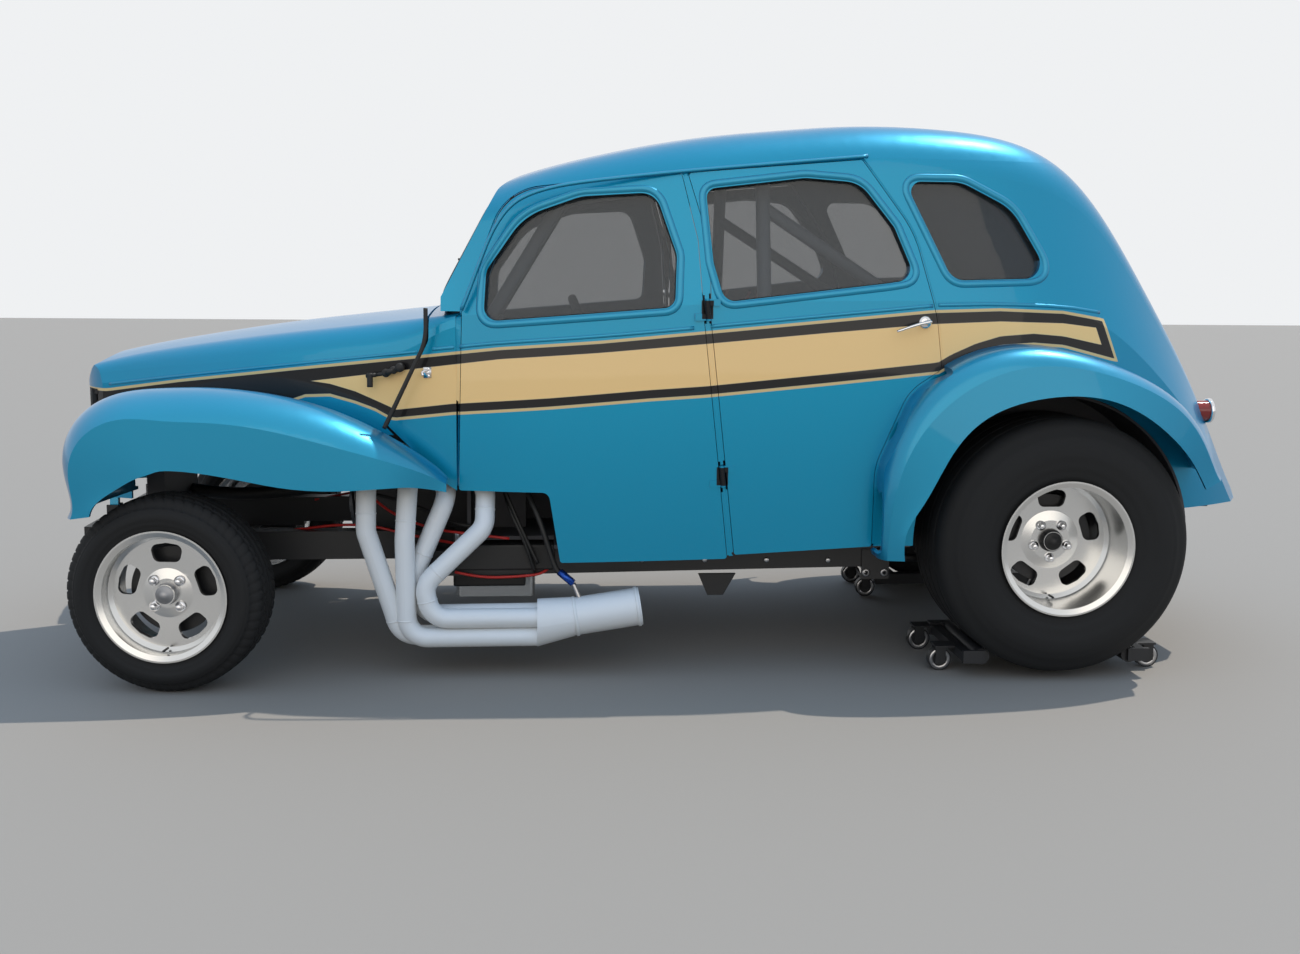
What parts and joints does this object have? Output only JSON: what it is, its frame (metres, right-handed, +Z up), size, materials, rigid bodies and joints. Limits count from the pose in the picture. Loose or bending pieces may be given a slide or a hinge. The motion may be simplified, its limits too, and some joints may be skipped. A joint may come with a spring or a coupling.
{
  "type": "drag racing car",
  "caption": "Full-size four-door saloon drag car with flip-up front clip, wide rear tyres on wheel dollies, opening doors and boot, steered front wheels.",
  "frame": {"origin": "on the ground under the middle of the car's length and width", "axes": "+X forward, +Y to the car's left, +Z up"},
  "size_m": [3.8329, 1.6122, 1.7238],
  "materials": {
    "paint": "gloss metallic blue with cream, black and tan bands",
    "fibre": "gloss metallic blue over fibreglass",
    "glass": "clear",
    "chassis": "satin black",
    "floor": "bare sheet",
    "engine": "painted casting",
    "alloy": "polished",
    "gear": "cast",
    "header": "white coating",
    "axle": "satin black",
    "chrome": "polished",
    "cage": "satin",
    "seat": "black cloth",
    "dash": "matt black",
    "lens": "red",
    "lamp": "clear",
    "tyre": "matt",
    "dolly": "worn black",
    "core": "fins"
  },
  "bodies": {
    "body": {"cowl": "paint", "roof_shell": "paint", "b_posts": "paint", "quarter_panels": "paint", "tail_panel": "paint", "rear_fenders": "paint", "fixed_glass": "glass", "chassis_frame": "chassis", "floor_pan": "floor", "engine_block": "engine", "oil_pan": "alloy", "radiator": "core", "headers": "header", "driveline": "gear", "front_axle": "axle", "rear_axle": "axle", "rear_suspension": "axle", "roll_cage": "cage", "seats": "seat", "dashboard": "dash", "tail_lamps": "lens", "rear_dollies": "dolly"},
    "flip_front": {"hood": "fibre", "front_fenders": "fibre", "grille": "chrome", "headlamps": "lamp"},
    "boot": {"boot_lid": "paint"},
    "tie_rod": {"tie_rod": "axle"},
    "steering_wheel": {"steering_wheel": "dash"},
    "door_front_left": {"door_front_left": "paint", "glass_front_left": "glass"},
    "door_rear_left": {"door_rear_left": "paint", "glass_rear_left": "glass"},
    "knuckle_left": {"knuckle_left": "axle"},
    "wheel_front_left": {"tyre_front_left": "tyre", "rim_front_left": "alloy"},
    "wheel_rear_left": {"tyre_rear_left": "tyre", "rim_rear_left": "alloy"},
    "door_front_right": {"door_front_right": "paint", "glass_front_right": "glass"},
    "door_rear_right": {"door_rear_right": "paint", "glass_rear_right": "glass"},
    "knuckle_right": {"knuckle_right": "axle"},
    "wheel_front_right": {"tyre_front_right": "tyre", "rim_front_right": "alloy"},
    "wheel_rear_right": {"tyre_rear_right": "tyre", "rim_rear_right": "alloy"}
  },
  "joints": [
    {"name": "flip_front_hinge", "type": "hinge", "parent": "body", "child": "flip_front", "pos_m": [1.8, 0, 0.455], "axis": [0, 1, 0], "range_deg": [0, 55]},
    {"name": "boot_hinge", "type": "hinge", "parent": "body", "child": "boot", "pos_m": [-1.602, 0, 1.141], "axis": [0, 1, 0], "range_deg": [0, 60]},
    {"name": "door_front_left_hinge", "type": "hinge", "parent": "body", "child": "door_front_left", "pos_m": [-0.125, 0.669, 0.63], "axis": [0.1015, 0, 0.9948], "range_deg": [0, 65]},
    {"name": "door_rear_left_hinge", "type": "hinge", "parent": "body", "child": "door_rear_left", "pos_m": [-0.125, 0.669, 0.63], "axis": [-0.1015, 0, -0.9948], "range_deg": [0, 65]},
    {"name": "steer_left", "type": "hinge", "parent": "body", "child": "knuckle_left", "pos_m": [1.5, 0.575, 0.285], "axis": [0, 0, 1], "range_deg": [-21.4, 34.6]},
    {"name": "wheel_front_left_spin", "type": "hinge", "parent": "knuckle_left", "child": "wheel_front_left", "pos_m": [1.50805, 0.64454, 0.292], "axis": [0.1149, 0.9934, 0], "continuous": true},
    {"name": "wheel_rear_left_spin", "type": "hinge", "parent": "body", "child": "wheel_rear_left", "pos_m": [-1.17, 0.596, 0.418], "axis": [0, 1, 0], "continuous": true},
    {"name": "door_front_right_hinge", "type": "hinge", "parent": "body", "child": "door_front_right", "pos_m": [-0.125, -0.669, 0.63], "axis": [-0.1015, 0, -0.9948], "range_deg": [0, 65]},
    {"name": "door_rear_right_hinge", "type": "hinge", "parent": "body", "child": "door_rear_right", "pos_m": [-0.125, -0.669, 0.63], "axis": [0.1015, 0, 0.9948], "range_deg": [0, 65]},
    {"name": "steer_right", "type": "hinge", "parent": "body", "child": "knuckle_right", "pos_m": [1.5, -0.575, 0.285], "axis": [0, 0, 1], "range_deg": [-21.4, 34.6]},
    {"name": "wheel_front_right_spin", "type": "hinge", "parent": "knuckle_right", "child": "wheel_front_right", "pos_m": [1.49195, -0.64454, 0.292], "axis": [0.1149, 0.9934, 0], "continuous": true},
    {"name": "wheel_rear_right_spin", "type": "hinge", "parent": "body", "child": "wheel_rear_right", "pos_m": [-1.17, -0.596, 0.418], "axis": [0, 1, 0], "continuous": true},
    {"name": "tie_rod_eye", "type": "hinge", "parent": "knuckle_left", "child": "tie_rod", "pos_m": [1.39073, 0.58764, 0.214], "axis": [0, 0, 1], "range_deg": [-34.6, 21.4]},
    {"name": "steering_wheel_turn", "type": "hinge", "parent": "body", "child": "steering_wheel", "pos_m": [0.26399, 0.35, 0.99844], "axis": [-0.94, 0, 0.3411], "range_deg": [-256.8, 415.2]}
  ],
  "couplings": [
    {"joint": "steer_right", "follows": "steer_left", "ratio": 1},
    {"joint": "tie_rod_eye", "follows": "steer_left", "ratio": -1},
    {"joint": "steering_wheel_turn", "follows": "steer_left", "ratio": 12}
  ]
}
